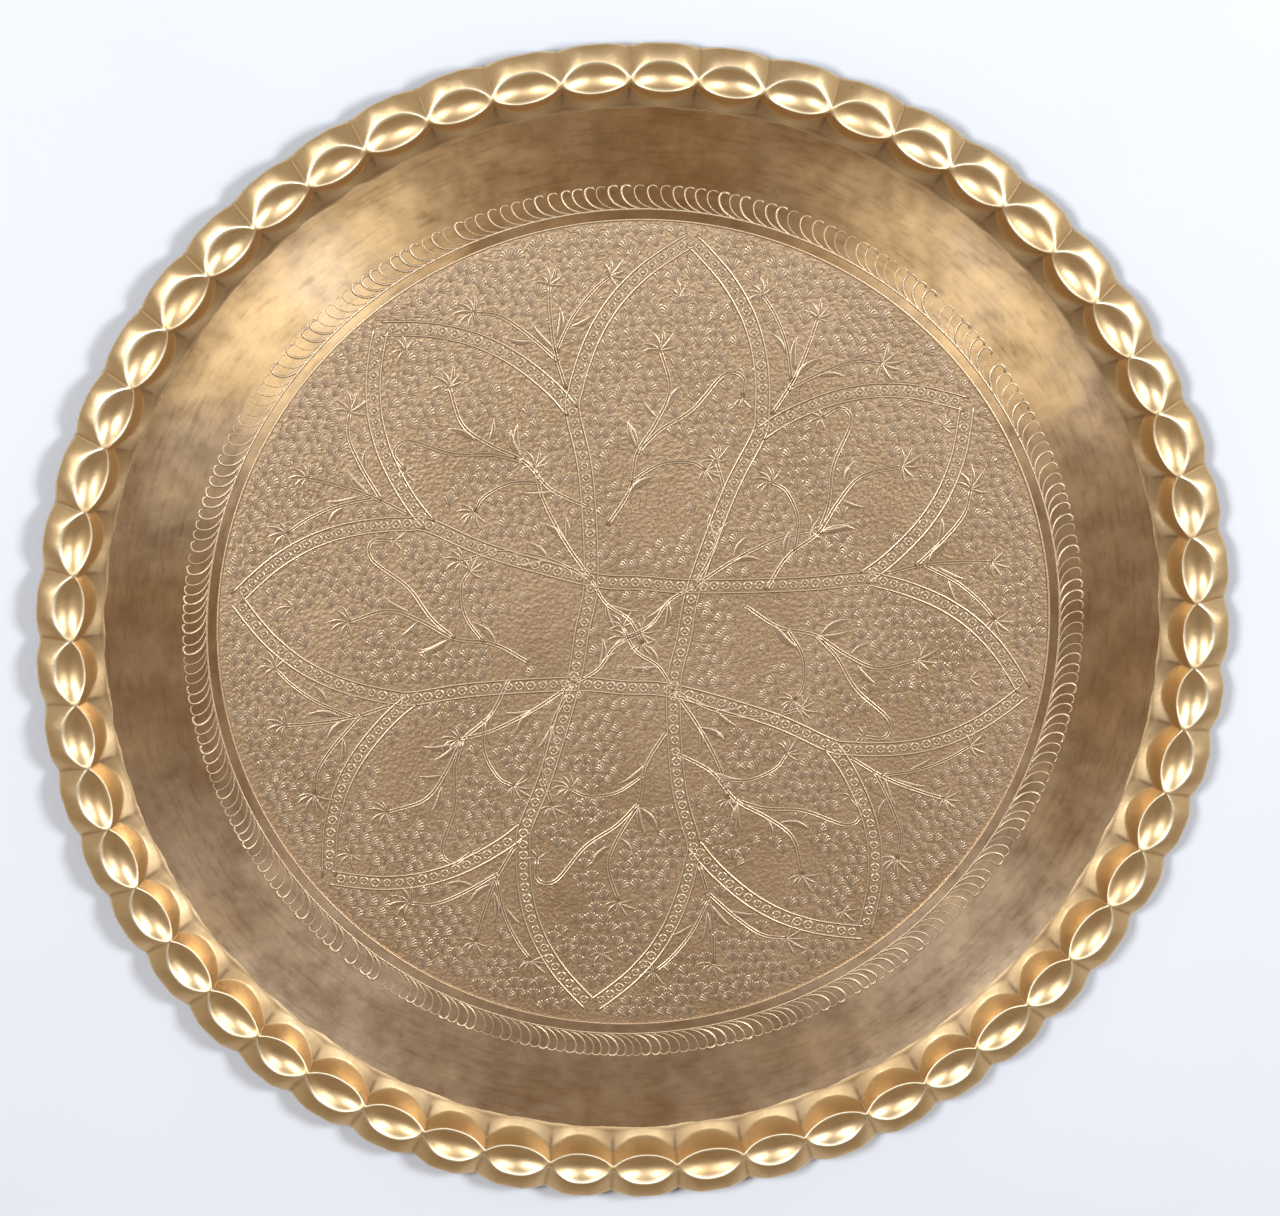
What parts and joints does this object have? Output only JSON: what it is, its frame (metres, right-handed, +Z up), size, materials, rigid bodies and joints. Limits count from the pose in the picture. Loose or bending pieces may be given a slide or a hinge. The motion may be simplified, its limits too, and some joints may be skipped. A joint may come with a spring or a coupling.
{
  "type": "brass tray",
  "caption": "Large round brass tray with a chased rosette, a rope border and a raised rim of dimpled pods; it carries cups and dishes, on a stand or hung up.",
  "frame": {"origin": "middle of the underside, where the tray rests", "axes": "+Z up through the middle of the tray, out of its chased face; +Y towards the upper edge as the tray hangs, +X to the right of the chased face"},
  "size_m": [0.9995, 0.9996, 0.03],
  "materials": {
    "chased_brass": "chased and punched, toned in the hollows",
    "burnished_brass": "burnished",
    "brushed_brass": "brushed in circles, worn",
    "rim_brass": "hammered and polished"
  },
  "bodies": {
    "root": {"chased_medallion": "chased_brass", "inner_ring": "burnished_brass", "rope_border": "chased_brass", "plain_field": "brushed_brass", "rim_wall": "rim_brass", "rim_dimples": "rim_brass", "rim_flare": "rim_brass"}
  },
  "joints": []
}
